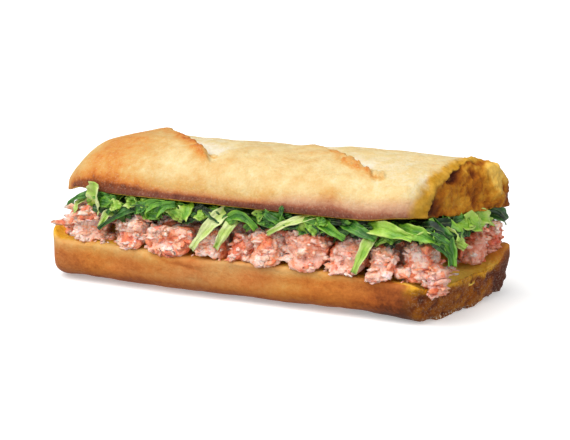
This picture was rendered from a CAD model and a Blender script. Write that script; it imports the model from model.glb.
# %% [markdown]
# # A lobster roll
# The finished object is a crusty roll, split in two, with lobster salad and shredded lettuce
# between the halves. The solids that carry it are packed already. Loading them first means that
# every finer piece below can be built straight onto them, in the same place and at real size.
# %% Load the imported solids
import math
import random
from collections import namedtuple

import bmesh
import bpy
from mathutils import Matrix, Vector, noise
from mathutils.bvhtree import BVHTree


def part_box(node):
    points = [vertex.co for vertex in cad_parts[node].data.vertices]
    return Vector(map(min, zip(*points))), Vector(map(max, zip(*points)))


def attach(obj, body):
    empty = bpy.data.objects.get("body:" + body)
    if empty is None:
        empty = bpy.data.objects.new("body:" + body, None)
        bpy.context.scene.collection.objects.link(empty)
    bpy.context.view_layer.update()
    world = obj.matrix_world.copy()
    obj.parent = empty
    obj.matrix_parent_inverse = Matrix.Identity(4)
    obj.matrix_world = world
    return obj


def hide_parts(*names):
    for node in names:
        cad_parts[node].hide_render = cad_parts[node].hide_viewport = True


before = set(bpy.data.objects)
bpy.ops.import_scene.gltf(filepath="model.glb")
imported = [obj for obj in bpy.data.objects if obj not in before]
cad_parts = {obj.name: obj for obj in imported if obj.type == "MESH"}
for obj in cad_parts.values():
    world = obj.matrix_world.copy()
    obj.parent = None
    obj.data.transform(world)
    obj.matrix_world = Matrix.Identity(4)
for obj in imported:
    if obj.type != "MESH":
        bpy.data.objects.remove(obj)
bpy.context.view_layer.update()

MM = 0.001
noise.seed_set(7)  # noise vectors take their offsets from this seed, or else from the time of day

# %% [markdown]
# ## Camera, floor and light
# The roll is seen from its front and a little from its cut end, from slightly above, through a
# long lens that keeps its edges almost parallel. The camera is made first so that every later
# piece can be judged in the same view. The main light is broad and soft, from above and the left,
# with a weak one from the right, because crust and moist meat show their relief best that way.
# The pale floor is kept from lighting the bread from below, as a dark table would be.
# %% Camera
VIEW_AZIMUTH, VIEW_ELEVATION = math.radians(24.43), math.radians(13.97)
VIEW_DISTANCE = 0.793
VIEW_TARGET = Vector((0.0061, 0, 0.0315))

away = Vector((
    math.sin(VIEW_AZIMUTH) * math.cos(VIEW_ELEVATION),
    -math.cos(VIEW_AZIMUTH) * math.cos(VIEW_ELEVATION),
    math.sin(VIEW_ELEVATION),
))
lens = bpy.data.cameras.new("camera")
lens.lens = 109.8
lens.sensor_width = 36
camera = bpy.data.objects.new("camera", lens)
camera.location = VIEW_TARGET + away * VIEW_DISTANCE
camera.rotation_euler = away.to_track_quat("Z", "Y").to_euler()
bpy.context.scene.collection.objects.link(camera)
bpy.context.scene.camera = camera
bpy.context.scene.view_settings.view_transform = "Standard"
print("camera stands at", [round(c, 3) for c in camera.location])


# %% Floor and lights
def far_light(name, towards, strength, softness, colour=(1, 1, 1)):
    """A distant light from this direction. Its softness is the angle, in degrees, that it fills."""
    light = bpy.data.lights.new(name, "SUN")
    light.energy = strength
    light.angle = math.radians(softness)
    light.color = colour
    obj = bpy.data.objects.new(name, light)
    obj.rotation_euler = Vector(towards).to_track_quat("Z", "Y").to_euler()
    bpy.context.scene.collection.objects.link(obj)


far_light("key_light", (-0.34, -0.46, 0.80), 2.55, 60, (1.0, 0.99, 0.97))
far_light("front_light", (0.10, -0.95, 0.26), 0.55, 50)
far_light("side_light", (0.75, -0.55, 0.40), 0.70, 60)

world = bpy.data.worlds.new("studio")
world.use_nodes = True
world.node_tree.nodes["Background"].inputs["Color"].default_value = (1, 1, 1, 1)
world.node_tree.nodes["Background"].inputs["Strength"].default_value = 0.40
bpy.context.scene.world = world

floor_shape = bmesh.new()
bmesh.ops.create_grid(floor_shape, x_segments=1, y_segments=1, size=6)
floor_mesh = bpy.data.meshes.new("floor")
floor_shape.to_mesh(floor_mesh)
floor_shape.free()
floor = bpy.data.objects.new("floor", floor_mesh)
bpy.context.scene.collection.objects.link(floor)
floor_paint = bpy.data.materials.new("floor")
floor_paint.use_nodes = True
floor_shader = floor_paint.node_tree.nodes["Principled BSDF"]
for key, value in {
    "Base Color": (0.93, 0.93, 0.93, 1), "Roughness": 0.9,
    "Emission Color": (1, 1, 1, 1), "Emission Strength": 0.30,
}.items():
    floor_shader.inputs[key].default_value = value
floor_mesh.materials.append(floor_paint)
floor.visible_diffuse = False

# %% [markdown]
# ## Small tools
# A material here is a graph of nodes. Short helpers keep each recipe readable: they add a node and
# fill or link its sockets, blend two colours, make a colour ramp, add up values, or make a noise
# pattern that is fixed to the object. The helpers for shapes do the same for the rules that push
# points about: steps that rise smoothly between two places, humps, and noise of a given size.
# %% Helpers for materials
def srgb(red, green, blue):
    """A colour given from 0 to 255, as the linear values that a shader takes."""
    def linear(value):
        value /= 255
        return value / 12.92 if value < 0.04045 else ((value + 0.055) / 1.055) ** 2.4
    return (linear(red), linear(green), linear(blue), 1.0)


def plug(tree, node, sockets):
    """Fills sockets, given by name or number, from a value or another node's output."""
    for key, value in sockets.items():
        if isinstance(value, bpy.types.NodeSocket):
            tree.links.new(value, node.inputs[key])
        else:
            node.inputs[key].default_value = value


def add_node(tree, kind, sockets=None, **settings):
    """Adds a node with its settings and sockets."""
    node = tree.nodes.new(kind)
    for key, value in settings.items():
        setattr(node, key, value)
    plug(tree, node, sockets or {})
    return node


def calculated(tree, operation, *values):
    """The result of one step of arithmetic."""
    return add_node(tree, "ShaderNodeMath", dict(enumerate(values)), operation=operation).outputs[0]


def blended(tree, share, first, second, mode="MIX"):
    """The colour between two others, by a share from 0 to 1."""
    sockets = {0: share, 6: first, 7: second}
    return add_node(tree, "ShaderNodeMix", sockets, data_type="RGBA", blend_type=mode).outputs[2]


def ramp(tree, value, stops):
    """A colour for each value, from (place, red, green, blue) stops."""
    node = add_node(tree, "ShaderNodeValToRGB", {"Fac": value})
    points = node.color_ramp.elements
    while len(points) < len(stops):
        points.new(0.5)
    for point, (place, *colour) in zip(points, stops):
        point.position = place
        point.color = srgb(*colour)
    return node.outputs["Color"]


def sums(tree, *terms):
    """Adds up (value, factor) terms."""
    total = 0.0
    for value, factor in terms:
        total = calculated(tree, "MULTIPLY_ADD", value, factor, total)
    return total


def between(tree, value, low, high):
    """0 below low, 1 above high, smooth between."""
    sockets = {"Value": value, "From Min": low, "From Max": high}
    node = add_node(tree, "ShaderNodeMapRange", sockets, interpolation_type="SMOOTHSTEP")
    return node.outputs["Result"]


def pattern(tree, size, detail=3.0, roughness=0.55, stretch=(1, 1, 1), offset=0.0, distortion=0.0):
    """Noise in lumps of about this size in metres, fixed to the object."""
    place = tree.nodes.get("place") or add_node(tree, "ShaderNodeTexCoord", name="place")
    sockets = {"Vector": place.outputs["Object"], "Location": (offset,) * 3, "Scale": stretch}
    spread = add_node(tree, "ShaderNodeMapping", sockets).outputs[0]
    sockets = {"Vector": spread, "Scale": 1 / size, "Detail": detail, "Roughness": roughness}
    return add_node(tree, "ShaderNodeTexNoise", {**sockets, "Distortion": distortion}).outputs["Fac"]


def painted(tree, name):
    """A value that the mesh carries at its points."""
    return add_node(tree, "ShaderNodeAttribute", attribute_name=name).outputs["Fac"]


def new_material(name, roughness):
    """A material with this roughness, its tree and its shader."""
    material = bpy.data.materials.new(name)
    material.use_nodes = True
    shader = material.node_tree.nodes["Principled BSDF"]
    shader.inputs["Roughness"].default_value = roughness
    return material, material.node_tree, shader


def bumps(tree, *layers):
    """Bump from (height, distance in metres) layers, one on top of the other."""
    normal = None
    for height, distance in layers:
        sockets = {"Height": height, "Distance": distance, "Strength": 1.0}
        if normal:
            sockets["Normal"] = normal
        normal = add_node(tree, "ShaderNodeBump", sockets).outputs["Normal"]
    return normal


# %% Helpers for shapes
def mix(a, b, share):
    return a + (b - a) * share


def smooth_step(value):
    value = min(1.0, max(0.0, value))
    return value * value * (3 - 2 * value)


def over(value, start, reach):
    """Rises from 0 at a start to 1 a reach beyond it. Start and reach are in millimetres."""
    return smooth_step((value - start * MM) / (reach * MM))


def under(value, start, reach):
    """Rises from 0 at a start to 1 a reach below it. Start and reach are in millimetres."""
    return smooth_step((start * MM - value) / (reach * MM))


def within(limit, value):
    """The value, kept from going past the limit either way."""
    return max(-limit, min(limit, value))


def hump(distance, reach):
    """1 at no distance, falling away smoothly over a reach."""
    return math.exp(-(distance / reach) ** 2)


def nearness(point, x, y, z, reach):
    """How near a point in metres lies to a place in millimetres."""
    return hump((point - Vector((x, y, z)) * MM).length, reach * MM)


def lump(point, size, *shift):
    """Soft noise with lumps of this size in millimetres."""
    return noise.noise(point / (size * MM) + Vector(shift or (0, 0, 0)))


def crags(point, size, roughness, finer, octaves, *shift):
    """Rough noise with lumps of this size in millimetres, and finer ones on them."""
    return noise.fractal(point / (size * MM) + Vector(shift or (0, 0, 0)), roughness, finer, octaves)


def signed_power(value, power):
    return math.copysign(abs(value) ** power, value)


def face_outwards(bm):
    """Turns every face of a closed skin outwards."""
    bmesh.ops.recalc_face_normals(bm, faces=bm.faces)
    if bm.calc_volume(signed=True) < 0:
        bmesh.ops.reverse_faces(bm, faces=bm.faces)
    bm.normal_update()


def value_layers(bm, names):
    """Adds the named values that every point of a mesh can carry."""
    return [bm.verts.layers.float.new(name) for name in names.split()]


def add_piece(name, bm, material, slot, *nodes):
    """Makes a smooth shaded piece of the roll from a bmesh, in place of the named solids."""
    mesh = bpy.data.meshes.new(name)
    bm.to_mesh(mesh)
    bm.free()
    mesh.shade_smooth()
    mesh.materials.append(material)
    piece = bpy.data.objects.new(name, mesh)
    bpy.context.scene.collection.objects.link(piece)
    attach(piece, "root")
    if nodes:
        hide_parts(*nodes)
    print(name, "faces:", len(mesh.polygons))
    return piece


def tree_of_pieces(pieces):
    """One search tree over finished pieces."""
    bm = bmesh.new()
    for piece in pieces:
        bm.from_mesh(piece.data)
    bm.normal_update()
    tree = BVHTree.FromBMesh(bm)
    bm.free()
    return tree


# %% [markdown]
# ## The bread's form
# A half of a split roll is a long loaf shape: domed or rounded on the crust side, flat on the cut
# side, and closed at both ends. One way is to sculpt it by hand, but a rule is easier to repeat
# and to measure. A globe is laid on its side, and each of its points is sent to a place on the
# half roll: how far along the poles gives x, and the angle round gives the place in the section.
# The section is a superellipse, which goes from round to nearly square with one number.
# These are the very numbers that the solids were built from, so the fine skin lies on them.
# %% Measures of the two halves
QUARTER_TURN = math.pi / 2
Half = namedtuple(
    "Half",
    "left right left_cap right_cap left_square right_square half_width widest "
    "above below above_square below_square above_closing below_closing skew lean end_reach",
)
HEEL = Half(
    left=-105 * MM, right=92 * MM, left_cap=18 * MM, right_cap=10 * MM,
    left_square=4.0, right_square=4.5, half_width=35.5 * MM, widest=11.8 * MM,
    above=9.4 * MM, below=12.8 * MM, above_square=7.0, below_square=2.9,
    above_closing=0.04, below_closing=0.8, skew=0.25, lean=-0.12, end_reach=50 * MM,
)
CROWN = Half(
    left=-106.5 * MM, right=93 * MM, left_cap=47 * MM, right_cap=16 * MM,
    left_square=2.0, right_square=4.5, half_width=35 * MM, widest=46.2 * MM,
    above=19.7 * MM, below=2.8 * MM, above_square=2.25, below_square=6.0,
    above_closing=1.25, below_closing=0.06, skew=0.36, lean=0.12, end_reach=52 * MM,
)
CAP_SHARE = 0.26
HEEL_DISH, HEEL_DISH_SQUARE = 3.4 * MM, 4
HEEL_FALL = 0.014
HEEL_EDGE_WAVE = 0.6 * MM
HEEL_EDGE_LENGTH = 46 * MM
Bend = namedtuple("Bend", "move start reach")
HEEL_TIP_RISE = Bend(5.6 * MM, 95 * MM, 9 * MM)
HEEL_BACK_RISE = Bend(6 * MM, 15 * MM, 15 * MM)
HEEL_BACK_REACH = Bend(1.0, 70 * MM, 22 * MM)
HEEL_END_DIP = Bend(4.2 * MM, 79 * MM, 12 * MM)
HEEL_DIP_FRONT = Bend(1.0, -38 * MM, 9 * MM)
HEEL_DIP_BACK = Bend(1.0, 0.0, 18 * MM)
CROWN_DROOP = Bend(6 * MM, 85 * MM, 22 * MM)
CROWN_TWIST = Bend(0.085, 56 * MM, 34 * MM)
CRUST_SWELL, CRUST_SWELL_SIZE = 1.5 * MM, 34 * MM
CRUST_LUMP, CRUST_LUMP_SIZE = 0.55 * MM, 11 * MM
END_CRAG, END_CRAG_SIZE, END_CRAG_REACH = 1.7 * MM, 12 * MM, 14 * MM
SLASH_FADE = 0.25
Slash = namedtuple("Slash", "start end lip valley lip_reach valley_reach")
SLASHES = (
    Slash((-66 * MM, 17 * MM), (-23 * MM, -22 * MM), 2.4 * MM, 2.2 * MM, 13 * MM, 20 * MM),
    Slash((12 * MM, 10 * MM), (60 * MM, -25 * MM), 1.2 * MM, 1.3 * MM, 9 * MM, 13 * MM),
)


# %% Functions that send a globe's points to the bread
def station(half, share):
    """x at this share of the way along the rings, and how much of the full section is there."""
    if share < CAP_SHARE:
        turn = share / CAP_SHARE * QUARTER_TURN
        power = 2 / half.left_square
        return half.left + half.left_cap * (1 - math.cos(turn) ** power), math.sin(turn) ** power
    if share > 1 - CAP_SHARE:
        turn = (1 - share) / CAP_SHARE * QUARTER_TURN
        power = 2 / half.right_square
        return half.right - half.right_cap * (1 - math.cos(turn) ** power), math.sin(turn) ** power
    middle = (share - CAP_SHARE) / (1 - 2 * CAP_SHARE)
    return mix(half.left + half.left_cap, half.right - half.right_cap, middle), 1.0


def bread_point(half, share, angle):
    """A point of the skin: share runs from the left tip to the right one, angle round X."""
    x, closing = station(half, share)
    side, rise = math.cos(angle), math.sin(angle)
    square = half.above_square if rise > 0 else half.below_square
    reach = half.above if rise > 0 else half.below
    dying = half.above_closing if rise > 0 else half.below_closing
    y = half.half_width * closing * signed_power(side, 2 / square)
    z = half.widest + reach * closing**dying * signed_power(rise, 2 / square)
    return Vector((x, y, z))


def even_steps(curve, count, samples=3000):
    """Places from 0 to 1 that cut a curve into pieces of one length."""
    points = [curve(number / samples) for number in range(samples + 1)]
    walked = [0.0]
    for a, b in zip(points, points[1:]):
        walked.append(walked[-1] + (b - a).length)
    steps, at = [], 0
    for number in range(count + 1):
        goal = walked[-1] * number / count
        while at < samples - 1 and walked[at + 1] < goal:
            at += 1
        span = (walked[at + 1] - walked[at]) or 1.0
        steps.append(min(1.0, (at + (goal - walked[at]) / span) / samples))
    return steps


def in_fixed_order(bm):
    """Sorts a skin's points by index and its faces by their points. A new globe's order varies."""
    bm.verts.sort()
    bm.verts.index_update()
    rows = []
    for face in bm.faces:
        row = [vert.index for vert in face.verts]
        first = row.index(min(row))
        rows.append(row[first:] + row[:first])
    mesh = bpy.data.meshes.new("ordered")
    mesh.from_pydata([vert.co.copy() for vert in bm.verts], [], sorted(rows))
    bm.clear()
    bm.from_mesh(mesh)
    bpy.data.meshes.remove(mesh)
    bm.normal_update()


def bread_shape(half, around, along, even=True):
    """A globe with its poles on the two tips, drawn out to the half roll's section."""
    bm = bmesh.new()
    bmesh.ops.create_uvsphere(bm, u_segments=around, v_segments=along, radius=1.0)
    shares = even_steps(lambda t: bread_point(half, t, 0.55), along) if even else None
    turns = even_steps(lambda t: bread_point(half, 0.5, t * 2 * math.pi), around) if even else None
    for vert in bm.verts:
        share = math.acos(within(1.0, -vert.co.z)) / math.pi
        angle = math.atan2(vert.co.y, vert.co.x)
        if even:
            ring, sector = round(share * along), round(angle / (2 * math.pi) * around) % around
            share, angle = shares[ring], turns[sector] * 2 * math.pi
            vert.index = ring * around + sector
        vert.co = bread_point(half, share, angle)
    face_outwards(bm)
    if even:
        in_fixed_order(bm)
    return bm


def crust_swell(point):
    """Slow lumps over the whole crust, and smaller ones on them."""
    slow = noise.noise(point / CRUST_SWELL_SIZE)
    quick = noise.noise(point / CRUST_LUMP_SIZE + Vector((7, 3, 1)))
    return CRUST_SWELL * slow + CRUST_LUMP * quick


def end_crags(point, right):
    """The rough right end of each half, where the loaf broke from the next."""
    near = smooth_step(1 - (right - point.x) / END_CRAG_REACH)
    return near * END_CRAG * noise.noise(point / END_CRAG_SIZE + Vector((2, 9, 4)))


def lean_end(half, point):
    """Moves a point near the right end back by the end's skew and lean."""
    near_end = smooth_step(1 - (half.right - point.x) / half.end_reach)
    rise = point.z - (half.widest - half.below)
    point.x += near_end * (half.skew * point.y - half.lean * rise)


# %% [markdown]
# The heel was lowered onto the ground and the whole roll was centred after it was built. The same
# step is found here by building the heel coarsely and comparing its corner with the solid's. It is
# rounded to a thousandth of a millimetre, so that it is the same number in each run.
# %% The heel's own form
def bent(bend, place):
    """How far a bend moves the surface at a place along its axis."""
    return bend.move * smooth_step((place - bend.start) / bend.reach)


def heel_rim(x, y):
    """How far the heel's cut face rises or dips at its ends."""
    dip = bent(HEEL_END_DIP, x) * (bent(HEEL_DIP_FRONT, y) - bent(HEEL_DIP_BACK, y))
    return bent(HEEL_TIP_RISE, -x) + bent(HEEL_BACK_RISE, y) * bent(HEEL_BACK_REACH, x) - dip


def shape_heel(bm, paint=None):
    """Swells the heel's crust and dishes its cut face. Paint gets each point and how far it is cut."""
    bm.normal_update()
    moves = [vert.normal * (crust_swell(vert.co) + end_crags(vert.co, HEEL.right)) for vert in bm.verts]
    for vert, move in zip(bm.verts, moves):
        on_cut = smooth_step((vert.co.z - HEEL.widest - 0.5 * HEEL.above) / (0.4 * HEEL.above))
        inward = max(0.0, 1 - (vert.co.y / HEEL.half_width) ** HEEL_DISH_SQUARE)
        wave = HEEL_EDGE_WAVE * math.sin(vert.co.x / HEEL_EDGE_LENGTH * math.pi)
        vert.co += move * (1 - on_cut)
        sink = inward * (HEEL_DISH + HEEL_FALL * vert.co.x)
        vert.co.z += on_cut * (wave + heel_rim(vert.co.x, vert.co.y) - sink)
        lean_end(HEEL, vert.co)
        vert.co.z = max(0.0, vert.co.z)
        if paint:
            paint(vert, on_cut)


rough_heel = bread_shape(HEEL, 24, 34, even=False)
shape_heel(rough_heel)
low = Vector(min(vert.co[axis] for vert in rough_heel.verts) for axis in range(3))
rough_heel.free()
CENTRING = Vector(round(c, 6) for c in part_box("heel")[0] - low)
print("the roll was moved by", [round(c * 1000, 2) for c in CENTRING], "mm to centre it")

# %% [markdown]
# ## The crust
# Crust is bread that dried and browned. Its colour is not one brown: where the dough lay on the
# tray it is deep orange brown, the dome is pale gold with flour still on it, and thin edges such
# as the lips of a slash are toasted darkest. So the mesh carries a painted value called toast,
# from pale to dark, and the material turns it into colour through a ramp and breaks it up with
# noise at three sizes. More painted values say where the surface is crumb, where it is the rough
# torn end or the olive yellow edge round it, and where specks of flour lie.
# %% Crust material
crust, tree, shader = new_material("crust", 0.62)
mottle = pattern(tree, 24 * MM, 4, 0.6, offset=0.3)
freckle = pattern(tree, 5 * MM, 3, 0.6, offset=1.1)
grain = pattern(tree, 1.3 * MM, 4, 0.65, offset=2.3)
toast_level = sums(
    tree, (painted(tree, "toast"), 1.0), (mottle, 0.24), (freckle, 0.26), (grain, 0.22), (0.36, -1.0)
)
crust_colour = ramp(tree, toast_level, (
    (0.00, 234, 225, 204), (0.18, 225, 202, 147), (0.36, 214, 170, 102),
    (0.52, 212, 147, 72), (0.66, 204, 122, 50), (0.80, 174, 92, 34),
    (0.91, 128, 62, 22), (1.00, 84, 40, 16),
))
rosy = ramp(tree, toast_level, (
    (0.10, 230, 206, 180), (0.40, 212, 168, 134), (0.70, 162, 98, 74),
    (1.00, 100, 52, 42),
))
crust_colour = blended(tree, painted(tree, "rosy"), crust_colour, rosy)
crumb_tone = sums(
    tree, (pattern(tree, 6 * MM, 4, 0.6, offset=4), 0.6), (grain, 0.4), (painted(tree, "pit"), -0.30)
)
crumb_colour = ramp(tree, crumb_tone, (
    (0.18, 132, 76, 10), (0.32, 194, 130, 20), (0.44, 234, 172, 40),
    (0.60, 248, 206, 88),
))
torn_tone = sums(
    tree, (pattern(tree, 9 * MM, 5, 0.62, offset=6, distortion=0.4), 0.62), (freckle, 0.28),
    (grain, 0.10), (painted(tree, "pit"), -0.50),
)
torn_colour = ramp(tree, torn_tone, (
    (0.02, 72, 24, 4), (0.18, 122, 58, 8), (0.34, 168, 98, 16),
    (0.47, 200, 136, 36), (0.62, 232, 186, 86),
))
bread_colour = blended(tree, painted(tree, "crumb"), crust_colour, crumb_colour)
olive = blended(tree, between(tree, freckle, 0.3, 0.7), srgb(190, 136, 30), srgb(214, 164, 62))
bread_colour = blended(tree, painted(tree, "olive"), bread_colour, olive)
bread_colour = blended(tree, painted(tree, "torn"), bread_colour, torn_colour)
flour_specks = between(tree, pattern(tree, 0.8 * MM, 2, 0.5, offset=12.4), 0.50, 0.74)
floured = calculated(tree, "MULTIPLY", flour_specks, painted(tree, "flour"))
bread_colour = blended(tree, floured, bread_colour, srgb(244, 226, 198))
pores = pattern(tree, 0.5 * MM, 2, offset=9)
plug(tree, shader, {
    "Base Color": bread_colour,
    "Normal": bumps(tree, (freckle, 0.9 * MM), (grain, 0.35 * MM), (pores, 0.12 * MM)),
    "Specular IOR Level": 0.14,
    "Subsurface Weight": 0.08,
    "Subsurface Radius": (0.004, 0.002, 0.001),
})
print("crust material:", len(tree.nodes), "nodes")

# %% [markdown]
# ## The heel
# The heel is the bottom half. It has a deep brown crust with faint lines along it, a fold in its
# front where the dough creased, a cut face of yellow crumb, and a rough brown right end with a
# floury fringe at its foot. The skin is fine enough to carry the fold and the crags as real relief.
# %% Heel
HEEL_AROUND, HEEL_ALONG = 230, 270
FOLD_START, FOLD_END = Vector((-50 * MM, 19 * MM)), Vector((-14 * MM, 13 * MM))
FOLD_DEPTH = 0.5 * MM
HEEL_TOAST = 0.65
HEEL_END, HEEL_END_SLANT = 84, 0.25  # where the torn end begins in millimetres, and how it slants


def fold_across(x, z):
    """How far along the front fold a point is, and how far above it."""
    run = FOLD_END - FOLD_START
    along = (Vector((x, z)) - FOLD_START).dot(run) / run.length_squared
    above = ((x - FOLD_START.x) * -run.y + (z - FOLD_START.y) * run.x) / run.length
    return along, above


def paint_heel(vert, on_cut):
    """Colours one point of the heel, and gives it its fine relief."""
    vert.co += CENTRING
    x, y, z = vert.co
    slanted = x - HEEL_END_SLANT * y
    end = over(slanted, HEEL_END, 9) * (1 - 0.5 * on_cut)
    streak = noise.noise(Vector((x / (40 * MM), y / (9 * MM), z / (3.4 * MM))))
    speck = lump(vert.co, 3)
    height = z / (20 * MM)
    tone = HEEL_TOAST + 0.20 * smooth_step(1 - height * 2.2) - 0.18 * smooth_step((height - 0.62) / 0.35)
    tone += 0.10 * streak + 0.10 * lump(vert.co, 18, 4, 4, 4)
    tone += 0.24 * over(x, 20, 66) + 0.06 * end
    if y < 0:
        along, above = fold_across(x, z)
        in_reach = smooth_step(along * 4) * smooth_step((1 - along) * 4)
        above += 0.5 * MM * noise.noise(Vector((x / (4 * MM), 0, 0)))
        broken = 0.45 + 0.55 * noise.noise(Vector((x / (6 * MM), 1, 0)))
        crease = in_reach * hump(above, 1.1 * MM) * broken
        shelf = in_reach * smooth_step(0.5 + above / (1.2 * MM)) * hump(above, 6 * MM)
        vert.co += vert.normal * (-FOLD_DEPTH * crease + 0.25 * MM * shelf)
        tone += 0.24 * crease
        tone -= 0.12 * hump(along - 0.75, 0.3) * hump(above + 4 * MM, 3 * MM)
    crag = crags(vert.co, 5, 0.8, 2.1, 4)
    grit = crags(vert.co, 1.5, 0.8, 2.1, 2)
    vert.co += vert.normal * (0.10 * MM * speck + end * (1.1 * MM * crag + 0.3 * MM * grit))
    fringe = over(slanted, HEEL_END, 6) * smooth_step(1.4 - z / (2.2 * MM))
    vert.co += vert.normal * (fringe * 0.5 * MM * lump(vert.co, 1.1))
    vert[toast_of] = max(0.0, tone)
    rim = over(abs(y), 30.5, 3) * under(x, 80, 10)
    border = z - 12 * MM + 1.6 * MM * lump(vert.co, 5)
    slope = over(slanted, HEEL_END, 8) * smooth_step(border / (3.4 * MM))
    on_top = smooth_step((on_cut - 0.55) / 0.4)
    crumby = max(on_top, slope)
    crumby *= 1 - 0.9 * over(x, 80, 8) * over(y, 14, 10)
    vert[crumb_of] = crumby * (1 - 0.92 * rim)
    vert[torn_of] = end * (1 - crumby) * 0.85
    mottled = max(0.0, -crag) * 0.6 + 0.44 + 0.22 * lump(vert.co, 7)
    mottled += 0.5 * over(y, 12, 12) * end
    light = 0.65 * on_top * over(x, 70, 10) * under(y, 18, 14)
    vert[pit_of] = min(1.0, mottled) * (1 - 0.9 * on_top) - light
    vert[flour_of] = min(1.0, 1.2 * fringe + 0.16 * end)
    vert[rosy_of] = 0.12 + 0.3 * lump(vert.co, 26, 0, 8, 0)
    vert.co.z = max(0.0, vert.co.z)


bm = bread_shape(HEEL, HEEL_AROUND, HEEL_ALONG)
toast_of, crumb_of, torn_of, pit_of, rosy_of, flour_of = value_layers(
    bm, "toast crumb torn pit rosy flour"
)
shape_heel(bm, paint_heel)
heel = add_piece("heel_crust", bm, crust, "bread", "heel")

# %% [markdown]
# ## The crown
# The crown is the top half. A baker cuts the dough before it is baked, and each cut opens: its
# left lip lifts and toasts, and beside it a pale valley of stretched dough opens. The slash
# here runs as a line in plan, and a ragged distance from that line says where the lip and the
# valley are. The second slash barely opened, and left two brown blisters.
# %% Crown
CROWN_AROUND, CROWN_ALONG = 240, 280
RAGGED = 1.3 * MM
BLISTERS = (
    ((45.8, -16.0), 6.6, 3.0, 1.5), ((58.2, -20.8), 5.4, 2.8, 1.5), ((32.0, -4.0), 3.4, 1.8, 0.7),
    ((-21.6, -17.8), 4.2, 1.2, 0.5),
)
BLISTER_TURN = math.radians(-35)
END_PITS = (
    (0.9, 87, -4, 63, 5.5), (1.0, 85, -24, 50, 5), (0.4, 96, 6.4, 53.6, 4.5), (0.8, 101, 30, 46, 8),
    (-0.5, 101, 23, 55, 9),
)  # how deep a hollow in the torn end is, its place and its reach; the last is a light patch
DARK_SPOT = 43, -33.6, 52, 5
END_TOP = 103.5 * MM, 66.6 * MM  # the furthest x, and the height above which crags are pressed down


def beyond_cut(x, y, z):
    """How far a point lies beyond the slanting plane where the crown's torn end begins."""
    return x - 79.2 * MM - 0.106 * (y + 32.9 * MM) - 0.077 * (z - 48.6 * MM)


def slash_place(slash, x, y):
    """How far along a slash a point in plan is, and how far to its right."""
    start, end = Vector(slash.start), Vector(slash.end)
    run = end - start
    along = (Vector((x, y)) - start).dot(run) / run.length_squared
    across = (x - start.x) * -run.y / run.length + (y - start.y) * run.x / run.length
    return along, across


def slash_relief(slash, x, y):
    """How far one slash lifts or sinks the crust, and how much it toasts and pales it."""
    along, across = slash_place(slash, x, y)
    fade = smooth_step(along / SLASH_FADE + 0.5) * smooth_step((1 - along) / SLASH_FADE + 0.5)
    if fade == 0:
        return 0.0, 0.0, 0.0
    ragged = across + RAGGED * crags(Vector((x, y, 0)), 5, 0.9, 2.2, 3)
    open_side = smooth_step(0.5 + ragged / (1.8 * MM))
    lip = slash.lip * math.exp(min(0.0, across) / slash.lip_reach)
    valley = -slash.valley * math.exp(-max(0.0, across) / slash.valley_reach)
    knob = 0.7 + 0.9 * crags(Vector((x, y, 4 * MM)), 3.2, 0.8, 2.1, 3)
    edge = hump(ragged + 2.0 * MM, 2.8 * MM) * knob
    low_end = smooth_step((along - 0.22) / 0.30)
    rise = fade * (mix(lip, valley, open_side) + 0.5 * slash.lip * edge * low_end)
    toasted = fade * hump(ragged + 2.2 * MM, 3.4 * MM) * (0.25 + 0.85 * low_end) * (0.5 + 0.7 * knob)
    paled = fade * open_side * math.exp(-max(0.0, across) / (11 * MM))
    return rise, toasted, paled


def blister_at(x, y):
    """The height and toast that the blisters add at a point in plan."""
    lift, tone = 0.0, 0.0
    for (cx, cy), length, width, rise in BLISTERS:
        dx, dy = x / MM - cx, y / MM - cy
        if math.hypot(dx, dy) > 3 * length:
            continue
        u = dx * math.cos(BLISTER_TURN) + dy * math.sin(BLISTER_TURN)
        v = -dx * math.sin(BLISTER_TURN) + dy * math.cos(BLISTER_TURN)
        spot = Vector((x, y, 0))
        wobble = 0.45 * crags(spot, 3.4, 0.8, 2.0, 3)
        outward = math.hypot(u / length, v / width) + wobble
        knobs = 0.65 + 0.9 * crags(spot, 2.2, 0.8, 2.0, 3)
        lift += rise * MM * smooth_step((1.3 - outward) / 0.55) * knobs
        low_side = smooth_step(0.5 - v / width)
        tone += 0.20 * smooth_step((1.3 - outward) / 0.5)
        tone += 0.34 * hump(outward - 0.95, 0.28) * low_side
    return lift, tone


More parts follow.
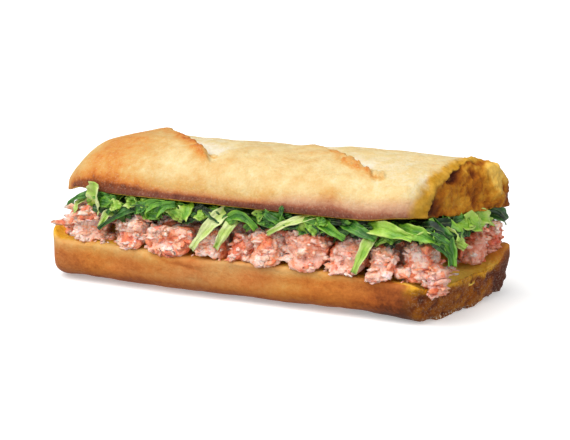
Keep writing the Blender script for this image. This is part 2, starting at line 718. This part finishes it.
def shape_crown(bm):
    """Swells the crust, opens the slashes, and paints the crown."""
    bm.normal_update()
    cut_level = CROWN.widest - CROWN.below
    moves = [vert.normal * (crust_swell(vert.co) + end_crags(vert.co, CROWN.right)) for vert in bm.verts]
    normals = [vert.normal.copy() for vert in bm.verts]
    for vert, move, normal in zip(bm.verts, moves, normals):
        height = (vert.co.z - cut_level) / (CROWN.above + CROWN.below)
        vert.co += move * smooth_step(height / 0.15)
        top = smooth_step((height - 0.45) / 0.3)
        x, y = vert.co.x, vert.co.y
        reliefs = [slash_relief(slash, x, y) for slash in SLASHES]
        first, second = reliefs
        vert.co.z += top * (first[0] + second[0]) - bent(CROWN_DROOP, -x)
        vert.co.z -= (1 - smooth_step(height)) * bent(CROWN_TWIST, x) * y
        lean_end(CROWN, vert.co)
        vert.co += CENTRING
        lift, brown = blister_at(vert.co.x, vert.co.y)
        crag = crags(vert.co, 8, 0.85, 2.1, 5)
        wrinkle = crags(vert.co, 7, 0.9, 2.0, 3, 3, 0, 0)
        beyond = beyond_cut(*vert.co) / MM + 1.6 * crags(vert.co, 5, 0.9, 2.0, 3)
        end = smooth_step((beyond + 1.4) / 3.2)
        hollow = smooth_step((beyond - 4.4) / 2.4)
        cut = smooth_step(-normal.z * 4 - 2)
        fine = 0.12 * MM * wrinkle * (1 - cut)
        vert.co.z += top * lift
        chips = crags(vert.co, 2.4, 0.9, 2.1, 2, 0, 5, 0)
        coarse = 1.1 + 0.8 * smooth_step(vert.co.y / (16 * MM))
        vert.co += normal * (fine + end * (coarse * crag + 0.45 * chips) * MM)
        vert.co.x -= hollow * 1.8 * MM * under(vert.co.y, 20, 12)
        vert.co.x = within(END_TOP[0], vert.co.x)
        vert.co.z -= 0.6 * max(0.0, vert.co.z - END_TOP[1])
        x, y, z = vert.co
        band = smooth_step((0.32 - height) / 0.26) * under(x, 88, 60)
        tip = under(x, -84, 12)
        tone = 0.24 + 0.07 * wrinkle + 0.10 * lump(vert.co, 2.2) * under(x, -30, 30)
        tone += 0.30 * under(x, -34, 44)
        low_left = smooth_step((0.60 - height) / 0.52) * under(x, -36, 24)
        off_tip = 1 - under(x, -72, 14)
        foot = smooth_step((0.205 - height) / 0.11) * (1 - 0.7 * over(x, 10, 40))
        tone += 0.24 * low_left * off_tip + 0.30 * foot * (1 - tip) - 0.22 * under(x, -74, 14)
        tone -= 0.05 * over(x, 30, 30)
        tone += 0.10 * smooth_step((0.5 - height) / 0.3) * over(x, 5, 20)
        lower = smooth_step((0.58 - height) / 0.44) * (1 - 0.4 * hump(x, 36 * MM))
        tone += 0.24 * lower * (1 - 0.6 * tip) + 0.46 * band * (1 - 0.8 * tip)
        tone += top * (0.36 * first[1] + 0.15 * second[1] + 0.58 * brown)
        tone -= 0.34 * first[2] + 0.16 * second[2]
        tone += 0.10 * over(y, 5, 25)
        tone += 0.22 * nearness(vert.co, *DARK_SPOT)
        vert[toast_of] = min(0.92, tone)
        rosy_top = mix(0.34, 0.52, over(x, 5, 25))
        vert[rosy_of] = 0.95 * smooth_step((rosy_top - height) / 0.28) * over(x, -95, 40)
        vert[flour_of] = 0.14 * (1 - end)
        vert[crumb_of] = cut
        vert[olive_of] = end * (1 - cut)
        vert[torn_of] = hollow * (1 - cut)
        pit = 0.12 + max(0.0, -crag) * 0.7 + 0.12 * hollow * (1 - smooth_step((beyond - 6) / 3))
        for depth, *place in END_PITS:
            pit += depth * nearness(vert.co, *place)
        vert[pit_of] = pit
        vert.co.x -= hollow * 0.9 * MM * min(1.2, max(0.0, pit - 0.3))


bm = bread_shape(CROWN, CROWN_AROUND, CROWN_ALONG)
toast_of, crumb_of, torn_of, pit_of, rosy_of, flour_of, olive_of = value_layers(
    bm, "toast crumb torn pit rosy flour olive"
)
shape_crown(bm)
crown = add_piece("crown_crust", bm, crust, "bread", "crown")

# %% [markdown]
# ## Lobster meat
# Lobster is white inside with orange red skin, and in a salad every chunk is coated with a thin
# cream. It shines softly and light passes a little way into it. The red is in patches, so noise
# picks them, and a painted value adds the larger ones where they are seen. Crevices are redder
# and darker than peaks, which the painted value pit gives.
# %% Lobster material
meat, tree, shader = new_material("lobster_meat", 0.36)
cream_tone = sums(
    tree, (pattern(tree, 5 * MM, 4, 0.65, offset=0.7), 0.75),
    (pattern(tree, 1.4 * MM, 3, 0.6, offset=6.2), 0.25),
)
cream = ramp(tree, cream_tone, (
    (0.34, 244, 152, 104), (0.42, 250, 186, 152), (0.50, 253, 211, 192),
    (0.58, 254, 231, 220), (0.68, 249, 208, 218),
))
patches = sums(
    tree, (pattern(tree, 6 * MM, 4, 0.62, offset=3.1, distortion=0.6), 1.0), (painted(tree, "red"), 0.24)
)
flecks = pattern(tree, 1.9 * MM, 3, 0.6, offset=5.7)
red_colour = ramp(tree, pattern(tree, 2.6 * MM, 3, offset=8.2), (
    (0.35, 218, 84, 42), (0.50, 240, 120, 66), (0.65, 250, 160, 106),
))
meat_colour = cream
for where, strength, colour, mode in (
    (between(tree, patches, 0.57, 0.69), 0.85, red_colour, "MIX"),
    (between(tree, flecks, 0.58, 0.66), 0.56, red_colour, "MIX"),
    (painted(tree, "pit"), 0.44, srgb(222, 124, 80), "MIX"),
    (painted(tree, "brown"), 0.70, srgb(222, 140, 94), "MULTIPLY"),
):
    meat_colour = blended(tree, sums(tree, (where, strength)), meat_colour, colour, mode)
fibre = pattern(tree, 1.1 * MM, 4, 0.6, stretch=(0.45, 1, 1), offset=2.9)
plug(tree, shader, {
    "Base Color": meat_colour,
    "Normal": bumps(tree, (fibre, 0.45 * MM), (flecks, 0.3 * MM)),
    "Subsurface Weight": 0.5,
    "Subsurface Radius": (0.005, 0.0026, 0.0018),
    "Coat Weight": 0.12,
    "Coat Roughness": 0.25,
})

# %% [markdown]
# Each chunk keeps the form of its solid. A copy of the solid is merged, rounded off by
# subdivision, and then pushed in and out by noise: big knobs first, then tilted flakes drawn out
# along the chunk's own fibres, then crumbs. That gives torn, flaky meat rather than a smooth
# pebble. The chunks at the front also get a foot that leans out over the heel's rim.
# %% Chunks
FOOT_FORWARD, FOOT_DOWN = 2.4 * MM, 0.8 * MM
TOE_FORWARD, TOE_TOP = 3.2 * MM, 25 * MM
SIDE_LIMIT, END_LIMIT = 37.2 * MM, 102 * MM
BROWN_CHUNKS = {4: 0.1, 5: 0.5, 7: 0.50, 8: 0.44, 9: 0.1, 11: 0.35, 12: 0.85, 13: 0.85}
HANGING_CHUNK = 11
CHUNKS = sorted(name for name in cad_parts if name.startswith("lobster_chunk"))
RED_SPOTS = (
    (-88, -27, 36, 3.5), (-58, -33, 24, 4), (40, -24, 28, 8), (36, -30, 33, 4), (45, -33, 22, 3),
    (-4, -29, 25, 7), (70, -31, 22, 3), (75, -26, 24, 3.5), (12, -33, 30, 3), (-70, -28, 22, 4),
    (-93, -18, 25, 4), (88, -26, 24, 5), (97, 24, 26, 6), (-36, -33, 26, 4), (-20, -32, 24, 4),
)  # places and reaches, in millimetres


def fine_copy(name, levels):
    """A copy of a solid, merged and rounded off by subdivision."""
    bm = bmesh.new()
    bm.from_mesh(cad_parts[name].data)
    bmesh.ops.remove_doubles(bm, verts=bm.verts, dist=0.01 * MM)
    bmesh.ops.join_triangles(
        bm, faces=bm.faces, angle_face_threshold=math.radians(60), angle_shape_threshold=math.radians(80)
    )
    mesh = bpy.data.meshes.new("rough")
    bm.to_mesh(mesh)
    bm.free()
    rough = bpy.data.objects.new("rough", mesh)
    bpy.context.scene.collection.objects.link(rough)
    rounding = rough.modifiers.new("Round", "SUBSURF")
    rounding.levels = rounding.render_levels = levels
    bpy.context.view_layer.update()
    graph = bpy.context.evaluated_depsgraph_get()
    smooth = bpy.data.meshes.new_from_object(rough.evaluated_get(graph))
    bm = bmesh.new()
    bm.from_mesh(smooth)
    bpy.data.objects.remove(rough)
    bpy.data.meshes.remove(mesh)
    bpy.data.meshes.remove(smooth)
    bm.normal_update()
    return bm


def tilted(draw, swing, nod, axis):
    """A turn about Z by one drawn angle, after a turn about another axis by a second one."""
    about_z = Matrix.Rotation(draw.uniform(*swing), 3, "Z")
    return about_z @ Matrix.Rotation(draw.uniform(-nod, nod), 3, axis)


def flaky(point, turn, seed):
    """Height of torn meat at a point, how deep in a crevice it is, and its flake's own number."""
    along = turn @ point
    drawn_out = Vector((along.x * 0.55, along.y, along.z))
    shift = Vector((seed * 1.7, seed * 0.9, 0))
    knobs = noise.noise(point / (7.0 * MM) + shift)
    place = drawn_out / (3.4 * MM) + shift + noise.noise_vector(point / (2.6 * MM)) * 0.45
    reaches, seats = noise.voronoi(place)
    tilt = noise.cell_vector(seats[0] * 5.1) - Vector((0.5, 0.5, 0.5))
    chance = noise.cell(seats[0] * 7.3)
    facet = 0.7 * (chance - 0.5) + 1.5 * (place - seats[0]).dot(tilt)
    crevice = smooth_step(1 - (reaches[1] - reaches[0]) / 0.22)
    crumbs = noise.fractal(point / (1.6 * MM) + shift, 0.8, 2.1, 2)
    height = 1.5 * knobs + 1.2 * facet - 0.45 * crevice + 0.50 * crumbs
    return height * MM, crevice, chance


def redness(point):
    """How much a red spot of the skin colours this place."""
    return max(nearness(point, *place) for place in RED_SPOTS)


def make_chunk(name, seed):
    """The flaky skin of one chunk, painted red, brown and dark where it is so."""
    bm = fine_copy(name, 3)
    red_of, pit_of, brown_of = value_layers(bm, "red pit brown")
    draw = random.Random(seed)
    turn = tilted(draw, (-0.7, 0.7), 0.5, "Y")
    moves = [flaky(vert.co, turn, seed) for vert in bm.verts]
    for vert, (move, crevice, chance) in zip(bm.verts, moves):
        forward = under(vert.co.y, -20, 10) * under(vert.co.z, 27, 9)
        toe = under(vert.co.y, -22, 6) * smooth_step((TOE_TOP - vert.co.z) / (5 * MM))
        vert.co += vert.normal * (move + 0.5 * MM)
        if seed != HANGING_CHUNK:
            vert.co.y -= FOOT_FORWARD * forward + TOE_FORWARD * toe
            vert.co.z -= FOOT_DOWN * forward
        vert.co.y = within(SIDE_LIMIT, vert.co.y)
        vert[pit_of] = 0.40 * crevice + 0.6 * over(-move, 0.9, 1.5)
        vert[red_of] = min(1.0, redness(vert.co) + 0.8 * smooth_step((chance - 0.78) / 0.04))
        vert[brown_of] = BROWN_CHUNKS.get(seed, 0.0)
    return add_piece(name + "_meat", bm, meat, "lobster", name)


meat_pieces = [make_chunk(name, seed) for seed, name in enumerate(CHUNKS, start=1)]

# %% [markdown]
# ## The finer salad
# Between the chunks lies finer salad: flakes and crumbs of the same meat. The core is a lumpy
# bed, finely divided. On it, on the chunks and on the bread's rim lie loose bits. Each is a small
# ball pressed out of round by noise. Some are dropped from above onto what lies there, some are
# thrown from the sides and stick where they hit, and torn shreds stand on the chunks that are
# seen from their ends. A ray or a point of the skin gives each its place, so no bit floats.
# %% Salad core and loose bits
CORE_SEED = 40


def make_salad_core():
    """The lumpy bed between the chunks, redder and darker than they are."""
    bm = fine_copy("lobster_salad", 3)
    red_of, pit_of = value_layers(bm, "red pit")
    moves = [flaky(vert.co, Matrix.Identity(3), CORE_SEED) for vert in bm.verts]
    for vert, (move, crevice, _) in zip(bm.verts, moves):
        vert.co += vert.normal * move
        vert[pit_of] = 0.3 + 0.7 * crevice
        vert[red_of] = 0.2
    return add_piece("salad_core", bm, meat, "lobster", "lobster_salad")


Rain = namedtuple("Rain", "count x y small large")
RAINS = [Rain(*row) for row in (
    (26, (-90, -8), (-33.4, -31), 1.0, 2.0),
    (14, (-8, 84), (-33.2, -31), 1.0, 1.8),
    (60, (-91, -70), (-31, -14), 2.2, 4.6),
    (50, (-60, 84), (-30, -20), 2.0, 4.2),
    (130, (-90, 90), (20, 33.5), 2.2, 5.0),
    (40, (-96, -84), (-22, 22), 2.2, 5.0),
    (70, (82, 98), (-2, 29), 1.4, 3.8),
    (30, (95, 101), (19, 29), 1.4, 3.4),
    (22, (84, 92), (17, 29), 3.5, 6.0),
    (14, (-98, -90), (-26, -6), 1.4, 3.2),
)]
SPRAY = {-1: 560, 1: 360}  # bits thrown from the front and from the back
SPRAY_X, SPRAY_Z = (-92, 90), (19, 36)
STICKERS = 0.5  # the share of crumbs that stick to a chunk's side
RUFFS = {1: 26, 10: 16, 11: 28, 12: 28, 13: 26, 14: 14, 15: 12}  # shreds on these chunks


def add_bit(bm, place, size, draw, layers, fine, brown=0.0):
    """One crumb of meat: a ball pressed out of round, sunk a little into what it lies on."""
    ball = bmesh.ops.create_icosphere(bm, subdivisions=2 if fine else 1, radius=0.5)["verts"]
    turn = tilted(draw, (0, 6.3), 0.9, "X")
    stretch = Vector((draw.uniform(1.0, 2.3), draw.uniform(0.6, 1.1), draw.uniform(0.4, 0.8)))
    seed = Vector((draw.uniform(0, 99), 0, 0))
    red, pit = draw.choice((0, 0, 0.2, 0.4, 0.7)), draw.uniform(0.0, 0.2)
    for vert in ball:
        knob = 1 + 0.95 * noise.noise(vert.co * 3.6 + seed)
        vert.co = place + turn @ Vector(c * s for c, s in zip(vert.co * knob * size, stretch))
        vert.co.y = within(SIDE_LIMIT, vert.co.y)
        vert.co.x = within(END_LIMIT, vert.co.x)
        vert[layers[0]] = red
        vert[layers[1]] = pit
        vert[layers[2]] = brown


def rain_bits(bm, ground, layers):
    """Bits that fell from above onto what lies there."""
    down = Vector((0, 0, -1))
    for place, rain in enumerate(RAINS):
        for number in range(rain.count):
            draw = random.Random(1000 * place + number)
            above = Vector((draw.uniform(*rain.x), draw.uniform(*rain.y), 60)) * MM
            hit = ground.ray_cast(above, down)[0]
            size = draw.uniform(rain.small, rain.large) * MM
            if hit and 14 * MM < hit.z < 38 * MM:
                add_bit(bm, hit + Vector((0, 0, 0.2 * size)), size, draw, layers, size > 2.6 * MM)


def spray_bits(bm, ground, layers):
    """Crumbs that stick to the sides of the chunks, and larger bits that fill the gaps between."""
    for side, count in SPRAY.items():
        for number in range(count):
            draw = random.Random(20000 + 1000 * side + number)
            start = Vector((draw.uniform(*SPRAY_X), side * 60, draw.uniform(*SPRAY_Z))) * MM
            hit, normal = ground.ray_cast(start, Vector((0, -side, 0)))[:2]
            if hit is None or hit.z < 17 * MM or hit.y * side < 12 * MM:
                continue
            if hit.y * side < 24 * MM:
                size = draw.uniform(3.6, 6.6) * MM
                place = Vector((hit.x, side * min(hit.y * side + 6 * MM, 30 * MM), hit.z))
            elif draw.random() > STICKERS:
                continue
            else:
                size = draw.uniform(1.6, 4.2) * MM
                place = hit + normal * 0.1 * MM
            add_bit(bm, place, size, draw, layers, size > 2.6 * MM)


def ruff_bits(bm, layers):
    """Torn shreds that stand off the chunks which are seen from their ends."""
    for chunk, count in RUFFS.items():
        skin = meat_pieces[chunk - 1].data.vertices
        brown = BROWN_CHUNKS.get(chunk, 0.0)
        for number in range(count):
            draw = random.Random(30000 + 100 * chunk + number)
            vert = skin[draw.randrange(len(skin))]
            size = draw.uniform(1.8, 4.0) * MM
            if vert.co.z > 15 * MM:
                add_bit(bm, vert.co + vert.normal * 0.15 * size, size, draw, layers, True, brown)


def make_bits():
    """All loose bits. Each has random numbers of its own, so one that misses changes no other."""
    ground = tree_of_pieces([heel, core, *meat_pieces])
    meat_alone = tree_of_pieces([core, *meat_pieces])
    bm = bmesh.new()
    layers = value_layers(bm, "red pit brown")
    rain_bits(bm, ground, layers)
    spray_bits(bm, meat_alone, layers)
    ruff_bits(bm, layers)
    return add_piece("salad_bits", bm, meat, "lobster", "lobster_salad")


core = make_salad_core()
make_bits()

# %% [markdown]
# ## Shredded lettuce
# Shredded lettuce is a tangle of thin strips: some deep green from the outer leaf, some nearly
# white from the rib. Each strip here is a fine grid laid along a curve of three points, root, bend
# and tip, with its face turned to a chosen side, cupped across and wavy at its edges. The strips
# that matter to the look are placed one by one, and the rest follow a seeded rule all round.
# %% Lettuce material
leaf_green, tree, shader = new_material("lettuce_leaf", 0.42)
tone = sums(
    tree, (painted(tree, "tone"), 1.0), (pattern(tree, 5 * MM, 3, offset=1.3), 0.34),
    (pattern(tree, 1.6 * MM, 3, offset=4.9), 0.16), (0.25, -1.0),
)
leaf_colour = ramp(tree, tone, (
    (0.00, 8, 30, 8), (0.18, 20, 66, 16), (0.38, 52, 116, 24),
    (0.56, 104, 162, 36), (0.72, 156, 198, 66), (0.88, 192, 214, 112),
    (1.00, 216, 226, 158),
))
across = painted(tree, "across")
vein = calculated(tree, "SINE", sums(tree, (across, 9.0), (pattern(tree, 5 * MM, offset=7), 9.0)))
veined = sums(tree, (between(tree, vein, 0.75, 1.0), 0.18))
leaf_colour = blended(tree, veined, leaf_colour, srgb(176, 200, 120))
crinkle = pattern(tree, 2.4 * MM, 3, offset=3.3)
plug(tree, shader, {
    "Base Color": leaf_colour,
    "Normal": bumps(tree, (vein, 0.12 * MM), (crinkle, 0.5 * MM)),
    "Subsurface Weight": 0.12,
    "Subsurface Radius": (0.0012, 0.002, 0.0006),
    "Specular IOR Level": 0.5,
})

# %% Leaves placed by hand
Leaf = namedtuple("Leaf", "root bend tip facing width tone cup twist")
SHOWN_LEAVES = [Leaf(*row) for row in (
    ((-74, -24, 41), (-84, -30, 42.5), (-92, -29, 34.5), (-0.4, -1, 0.5), 4.0, 0.36, 0.3, 60),
    ((-80, -24, 41), (-87, -30, 38), (-86.5, -31.5, 30.5), (-0.5, -1, 0.2), 3.2, 0.86, 0.4, 20),
    ((-75.5, -30, 35), (-74, -34, 42), (-72.6, -35.2, 49), (-0.3, -1, 0.2), 11.0, 0.88, 0.3, 10),
    ((-63, -25, 42), (-66, -33.5, 39), (-71, -34.6, 28), (-0.3, -1, 0.2), 4.5, 0.88, 0.3, -35),
    ((-43, -27, 41.5), (-58, -35.6, 38), (-71.5, -35.6, 27.5), (0, -1, 0.5), 3.8, 0.22, 0.35, -20),
    ((-62, -22, 42), (-62, -31, 41.5), (-68, -34, 35), (-0.2, -1, 0.3), 6.0, 0.40, -0.4, 30),
    ((-48, -30, 33), (-50.5, -35.2, 42), (-38, -32, 42.4), (-0.2, -1, 0.2), 6.0, 0.52, 0.6, 25),
    ((-44, -30, 34), (-42, -35.2, 41), (-33, -32, 42), (0.1, -1, 0.4), 6.5, 0.46, 0.5, -15),
    ((-31, -27, 42), (-25.5, -34.6, 43), (-27.5, -34.8, 36), (0.3, -1, 0.4), 7.5, 0.72, 0.25, 25),
    ((-32, -28, 35), (-24, -33.4, 37), (-19, -31, 42.4), (0.1, -1, 0.3), 7.5, 0.12, 0.3, 10),
    ((-7, -28, 42), (-11, -36.2, 40), (-23, -36.4, 23.5), (0.1, -1, 0.35), 6.6, 1.04, 0.35, 12),
    ((-3, -28, 39), (-6, -35.4, 36), (-11.5, -35.4, 24.5), (0.2, -1, 0.2), 5.6, 0.92, 0.3, -12),
    ((-8.5, -31, 36), (0.3, -35.4, 45), (7.5, -33.5, 35), (0, -1, 0.6), 4.6, 0.50, 0.4, 15),
    ((-16, -26, 42), (-8, -34.6, 42), (3, -31, 40), (0, -1, 0.2), 7.5, 0.34, -0.3, 10),
    ((4, -27, 41), (12, -35.2, 39), (24, -32, 38), (0, -1, 0.3), 7.0, 0.44, 0.35, -14),
    ((23.5, -32, 39), (18.6, -36.2, 43), (21.8, -36.6, 47.4), (-0.5, -1, 0.2), 3.4, 0.42, 0.5, 40),
    ((38, -28, 43), (27, -36.4, 43), (14, -36.2, 34.2), (0, -1, 0.7), 4.2, 0.94, 0.3, -20),
    ((32, -27, 42.4), (40, -35.4, 40), (50, -34.6, 35.5), (0.1, -1, 0.6), 5.5, 0.50, 0.6, 30),
    ((44, -26, 42), (52, -35.2, 42), (64, -34.2, 36.5), (0.1, -1, 0.4), 6.5, 0.42, 0.3, -10),
    ((62, -28, 40), (60.5, -36.8, 35), (55, -36.8, 21.5), (0.2, -1, 0.25), 5.6, 0.82, 0.25, 10),
    ((59, -30, 40), (69, -36.8, 43), (81, -35.4, 39), (0, -1, 0.5), 7.4, 0.72, 0.45, 14),
    ((73, -30, 41), (82, -36.4, 42), (92, -31, 37.4), (0.3, -1, 0.5), 6.6, 0.60, 0.5, -20),
    ((82, -27, 41), (89, -33.5, 44), (94, -26, 38), (0.5, -1, 0.5), 8.0, 0.26, 0.4, 20),
    ((86, -22, 41), (96.5, -28.5, 38), (96, -27.5, 27), (0.6, -0.8, 0.2), 6.5, 0.50, 0.4, 20),
    ((84, -12, 41), (97, -18, 40), (96, -13, 35), (1, -0.6, 0.3), 6.5, 0.62, 0.3, -25),
    ((84, -6, 40.4), (97.5, -6, 41), (98, 6, 36), (1, -0.5, 0.5), 8.5, 0.74, 0.4, 20),
    ((84, 6, 40), (99.5, 8, 41.4), (98.5, 18, 35.4), (1, -0.4, 0.5), 8.0, 0.78, 0.5, -20),
    ((84, 18, 39.6), (100, 25, 40.8), (101, 31, 34), (1, -0.6, 0.4), 9.0, 0.22, 0.6, 15),
    ((80, -26, 41), (89, -34, 40), (95, -29, 32), (0.4, -1, 0.3), 5.0, 0.38, 0.4, 30),
)]


# %% The rule for the other leaves
RULE_LEAVES, SCRAPS = 250, 110
OPEN_CORNER = -76, -12  # no ruled leaf lies further left and to the front, in millimetres


def ring_place(share, inset):
    """A place on the lettuce's edge in plan, and the direction out from it. Millimetres."""
    length, width = 176.0, 56.0
    walk = share * 2 * (length + width)
    if walk < length:
        return Vector((-84 + walk, -28 + inset, 0)), Vector((0, -1, 0))
    walk -= length
    if walk < width:
        return Vector((92 - inset, -28 + walk, 0)), Vector((1, 0, 0))
    walk -= width
    if walk < length:
        return Vector((92 - walk, 28 - inset, 0)), Vector((0, 1, 0))
    walk -= length
    return Vector((-84 + inset, 28 - walk, 0)), Vector((-1, 0, 0))


def ruled_leaf(number, draw):
    """One leaf of the tangle: rooted under the crown, bending out, its tip lying or hanging."""
    place, out = ring_place((number + draw.uniform(0, 1)) / RULE_LEAVES, draw.uniform(1, 9))
    along = Vector((-out.y, out.x, 0)) * draw.choice((-1, 1))
    reach = draw.uniform(1, 6) if out.y < 0 else draw.uniform(2, 8)
    length = draw.uniform(6, 15)
    root = place - out * draw.uniform(2, 8) + Vector((0, 0, draw.uniform(36.5, 41.5)))
    bend = place + out * reach + along * length * 0.5 + Vector((0, 0, draw.uniform(37.5, 42)))
    tip = place + out * reach * draw.uniform(0.6, 1.1) + along * length
    tip += Vector((0, 0, draw.choice((draw.uniform(36, 41), draw.uniform(32.5, 37)))))
    facing = out + Vector((draw.uniform(-0.5, 0.5), draw.uniform(-0.5, 0.5), draw.uniform(-0.2, 0.9)))
    tone = draw.choice((0.06, 0.14, 0.24, 0.34, 0.42, 0.50, 0.62, 0.78)) + draw.uniform(-0.05, 0.05)
    width, cup, twist = draw.uniform(3.5, 8), draw.uniform(-0.5, 0.6), draw.uniform(-50, 50)
    return Leaf(root, bend, tip, facing, width, tone, cup, twist)


def scrap(draw):
    """A small crumpled piece near the front or the back, at any angle."""
    side = draw.choice((-1, -1, 1))
    place = Vector((draw.uniform(-84, 92), side * draw.uniform(30, 33.6), draw.uniform(36, 42)))
    angle, length = draw.uniform(-0.6, 0.6), draw.uniform(2.5, 5.5)
    along = Vector((math.cos(angle) * draw.choice((-1, 1)), 0, math.sin(angle))) * length
    bulge = Vector((0, side * draw.uniform(-1, 2), draw.uniform(-1, 1.5)))
    facing = Vector((draw.uniform(-0.6, 0.6), side, draw.uniform(-0.4, 0.9)))
    tone = draw.choice((0.16, 0.26, 0.36, 0.46, 0.58, 0.74))
    width, cup, twist = draw.uniform(3, 6.5), draw.uniform(-0.8, 0.8), draw.uniform(-60, 60)
    return Leaf(place - along, place + bulge, place + along, facing, width, tone, cup, twist)


# %% Laying the leaves
SHOWN_GRID, TANGLE_GRID = (26, 6), (12, 2)  # faces along and across
LEAF_THICK = 0.35 * MM
CLEAR, EDGE_CLEAR = 0.9 * MM, 0.35 * MM  # how far a leaf's middle and its edge stand off bread and meat
DEEPEST = 6 * MM  # a point further inside than this is left where it is


blockers = tree_of_pieces([heel, crown, *meat_pieces])


def pushed_out(point, clear):
    """A point moved out of the bread and the meat, and kept within the roll's own sides."""
    for _ in range(2):
        spot, normal, _, distance = blockers.find_nearest(point)
        inside = (point - spot).dot(normal) < 0 and distance < DEEPEST
        if inside or distance < clear:
            point = spot + normal * clear
    point.y = within(SIDE_LIMIT, point.y)
    point.x = within(END_LIMIT, point.x)
    return point


def leaf_spine(leaf, steps):
    """Points along the leaf's curve, each with the way the blade runs and faces."""
    root, bend, tip = (Vector(place) * MM for place in (leaf.root, leaf.bend, leaf.tip))
    points = []
    for step in range(steps + 1):
        share = step / steps
        point = root.lerp(bend, share).lerp(bend.lerp(tip, share), share)
        points.append(pushed_out(point, CLEAR) if share > 0.25 else point)
    for _ in range(2):
        points = [
            points[i] if i in (0, steps) else (points[i - 1] + points[i] * 2 + points[i + 1]) / 4
            for i in range(steps + 1)
        ]
    spine = []
    for step, point in enumerate(points):
        ahead = (points[min(step + 1, steps)] - points[max(step - 1, 0)]).normalized()
        turn = Matrix.Rotation(math.radians(leaf.twist) * (step / steps - 0.5), 3, ahead)
        across = turn @ Vector(leaf.facing).cross(ahead).normalized()
        spine.append((point, across, ahead.cross(across)))
    return spine


def lay_leaf(bm, layers, leaf, seed, grid):
    """Adds one leaf to the bmesh, cupped, wavy and tapering to its tip."""
    tone_of, across_of = layers
    steps, wide = grid
    spine = leaf_spine(leaf, steps)
    blade = bmesh.ops.create_grid(bm, x_segments=steps, y_segments=wide, size=0.5)["verts"]
    wave = noise.noise(Vector((seed * 3.3, 0, 0)))
    for vert in blade:
        step, side = round((vert.co.x + 0.5) * steps), vert.co.y * 2
        share = step / steps
        point, across, normal = spine[step]
        belly = math.sin(math.pi * min(1, share * 1.1 + 0.08)) ** 0.6
        width = 0.9 * leaf.width * MM * (0.55 + 0.45 * belly)
        ragged = 1 + 0.22 * noise.noise(Vector((share * 6, side * 0.7, seed)))
        ruffle = noise.noise(Vector((share * 4.2, side * 1.1, seed * 1.9 + wave)))
        frill = noise.noise(Vector((share * 8, side * 1.4, seed * 2.7))) * side * side
        place = (
            point + across * (side * width / 2 * ragged)
            + normal * (leaf.cup * width * 0.3 * (side * side + abs(side)))
            + normal * ((1.4 * ruffle * (0.4 + abs(side)) + 0.9 * frill) * MM)
        )
        vert.co = pushed_out(place, EDGE_CLEAR)
        edge = 34 * MM if vert.co.y < 0 else 30 * MM
        inward = min(edge - abs(vert.co.y), 94 * MM - vert.co.x, vert.co.x + 84 * MM)
        tone = leaf.tone - 0.07 + 0.20 * ruffle + 0.10 * (0.5 - share) + 0.16 * side * side
        vert[tone_of] = tone - 0.34 * smooth_step(inward / (7 * MM))
        vert[across_of] = side


def make_leaves(name, leaves, first_seed, grid, *nodes):
    """One piece of many leaves, thin sheets that a modifier gives their thickness."""
    bm = bmesh.new()
    layers = value_layers(bm, "tone across")
    for number, leaf in enumerate(leaves):
        lay_leaf(bm, layers, leaf, first_seed + number, grid)
    bmesh.ops.recalc_face_normals(bm, faces=bm.faces)
    piece = add_piece(name, bm, leaf_green, "lettuce", *nodes)
    wall = piece.modifiers.new("Thickness", "SOLIDIFY")
    wall.thickness = LEAF_THICK
    wall.offset = 0
    return piece


draw = random.Random(31)
make_leaves("lettuce_shown", SHOWN_LEAVES, 500, SHOWN_GRID, "lettuce")
tangle = [ruled_leaf(number, draw) for number in range(RULE_LEAVES)]
tangle += [scrap(draw) for number in range(SCRAPS)]
tangle = [leaf for leaf in tangle if leaf.bend.x > OPEN_CORNER[0] or leaf.bend.y > OPEN_CORNER[1]]
make_leaves("lettuce_tangle", tangle, 900, TANGLE_GRID, "lettuce")

# %% [markdown]
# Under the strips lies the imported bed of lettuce. Only slits of it are seen, deep in shadow, so
# it is a lumpy slab of the same dark green leaf that fills the space under the crown.
# %% Lettuce bed
BED_CORNERS = Vector((-72, -26, 36.6)) * MM, Vector((86, 26, 42.6)) * MM


def make_bed():
    """A block divided into a fine grid, with a crumpled skin."""
    bm = bmesh.new()
    bmesh.ops.create_cube(bm, size=1.0)
    for axis, cuts in enumerate((90, 30, 3)):
        edges = [edge for edge in bm.edges if abs((edge.verts[1].co - edge.verts[0].co)[axis]) > 0.99]
        bmesh.ops.subdivide_edges(bm, edges=edges, cuts=cuts, use_grid_fill=True)
    layers = value_layers(bm, "tone across")
    low, high = BED_CORNERS
    for vert in bm.verts:
        point = Vector(mix(low[axis], high[axis], vert.co[axis] + 0.5) for axis in range(3))
        crumple = noise.ridged_multi_fractal(point / (7 * MM), 0.9, 2.0, 3, 1.0, 1.5) - 1.0
        sideways = Vector((0, math.copysign(1, vert.co.y), 0))
        vert.co = point + sideways * abs(vert.co.y) * 2 * crumple * 1.4 * MM
        vert.co.z += 0.4 * MM * crumple
        vert[layers[0]] = 0.12 + 0.14 * crumple
        vert[layers[1]] = 0.3
    return add_piece("lettuce_bed", bm, leaf_green, "lettuce", "lettuce")


make_bed()
